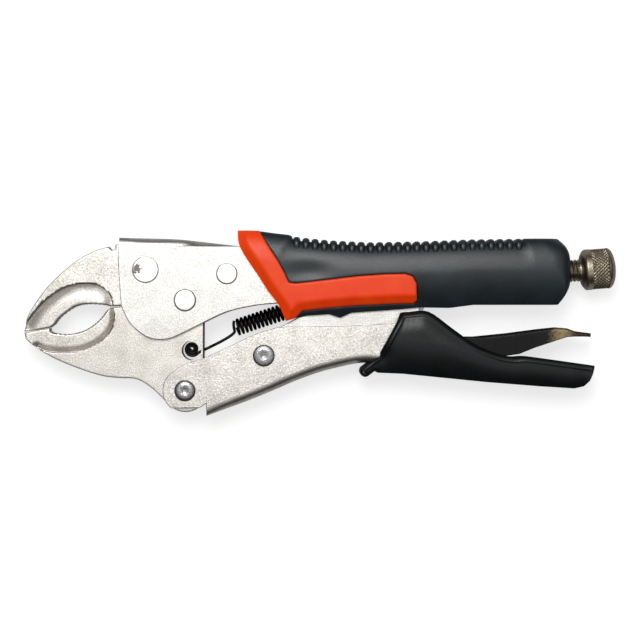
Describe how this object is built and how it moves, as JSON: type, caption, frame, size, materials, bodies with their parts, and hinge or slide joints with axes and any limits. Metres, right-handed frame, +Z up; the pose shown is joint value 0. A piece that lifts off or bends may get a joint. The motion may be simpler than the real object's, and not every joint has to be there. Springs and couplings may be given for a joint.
{
  "type": "locking pliers",
  "caption": "Curved-jaw locking pliers with a toggle linkage, knurled adjusting screw, return spring, release lever and two-colour moulded handle grip",
  "frame": {"origin": "centre of the bounding box in X and Y, on the surface that the tool lies on in Z", "axes": "+X runs from the jaws to the knurled screw head, +Y points to the fixed handle's side, +Z is up through the tool's thickness as it lies on its side"},
  "size_m": [0.25, 0.078, 0.023],
  "materials": {
    "plated_steel": "satin nickel plate over sheet steel",
    "jaw_steel": "matte nickel plate over forged steel",
    "rivet_steel": "bare turned steel, slightly darker than the plated sheet",
    "screw_steel": "turned and knurled, warm grey nickel",
    "black_spring_steel": "blackened spring wire",
    "black_oxide_steel": "pressed sheet with a black oxide finish",
    "slate_rubber": "soft moulded grip, satin",
    "orange_plastic": "hard moulded collar, semi-gloss",
    "black_vinyl": "smooth dipped sleeve, satin"
  },
  "bodies": {
    "upper_handle": {"upper_channel": "plated_steel", "upper_jaw": "jaw_steel", "upper_jaw_front_rivet": "plated_steel", "upper_jaw_rear_rivet": "plated_steel", "jaw_pivot_rivet": "plated_steel", "upper_grip": "slate_rubber", "upper_grip_inlay": "orange_plastic", "screw_nut": "plated_steel", "spring_anchor_pin": "plated_steel", "jaw_spring": "black_spring_steel"},
    "lower_jaw": {"lower_jaw": "jaw_steel"},
    "lower_handle": {"lower_channel": "plated_steel", "lower_handle_rivet": "rivet_steel", "toggle_link_rivet": "rivet_steel", "lower_grip": "black_vinyl", "release_lever_pin": "plated_steel"},
    "toggle_link": {"toggle_link": "plated_steel"},
    "release_lever": {"release_lever": "black_oxide_steel"},
    "screw_carrier": {"screw_thrust_cap": "screw_steel"},
    "adjusting_screw": {"adjusting_screw": "screw_steel"}
  },
  "joints": [
    {"name": "jaw_hinge", "type": "hinge", "parent": "upper_handle", "child": "lower_jaw", "pos_m": [-0.0568, 0.0096, 0.0115], "axis": [0, 0, 1], "range_deg": [0, 24], "deforming": ["jaw_spring"]},
    {"name": "handle_hinge", "type": "hinge", "parent": "lower_jaw", "child": "lower_handle", "pos_m": [-0.0568, -0.0284, 0.0115], "axis": [0, 0, 1], "range_deg": [-74, 0]},
    {"name": "link_hinge", "type": "hinge", "parent": "lower_handle", "child": "toggle_link", "pos_m": [-0.0237, -0.0137, 0.0115], "axis": [0, 0, 1], "range_deg": [0, 74]},
    {"name": "lever_hinge", "type": "hinge", "parent": "lower_handle", "child": "release_lever", "pos_m": [0.0465, -0.0093, 0.0115], "axis": [0, 0, 1], "range_deg": [-8, 0]},
    {"name": "screw_feed", "type": "slide", "parent": "upper_handle", "child": "screw_carrier", "axis": [0.9969, 0.0785, 0], "range_m": [0, 0.018]},
    {"name": "screw_turn", "type": "hinge", "parent": "screw_carrier", "child": "adjusting_screw", "pos_m": [0.0499, 0.0176, 0.0115], "axis": [0.9969, 0.0785, 0], "range_deg": [0, 4325]}
  ],
  "couplings": [
    {"joint": "handle_hinge", "follows": "jaw_hinge", "ratio": -3.08},
    {"joint": "link_hinge", "follows": "jaw_hinge", "ratio": 3.08},
    {"joint": "screw_turn", "follows": "screw_feed", "rad_per_m": 4188.8}
  ]
}
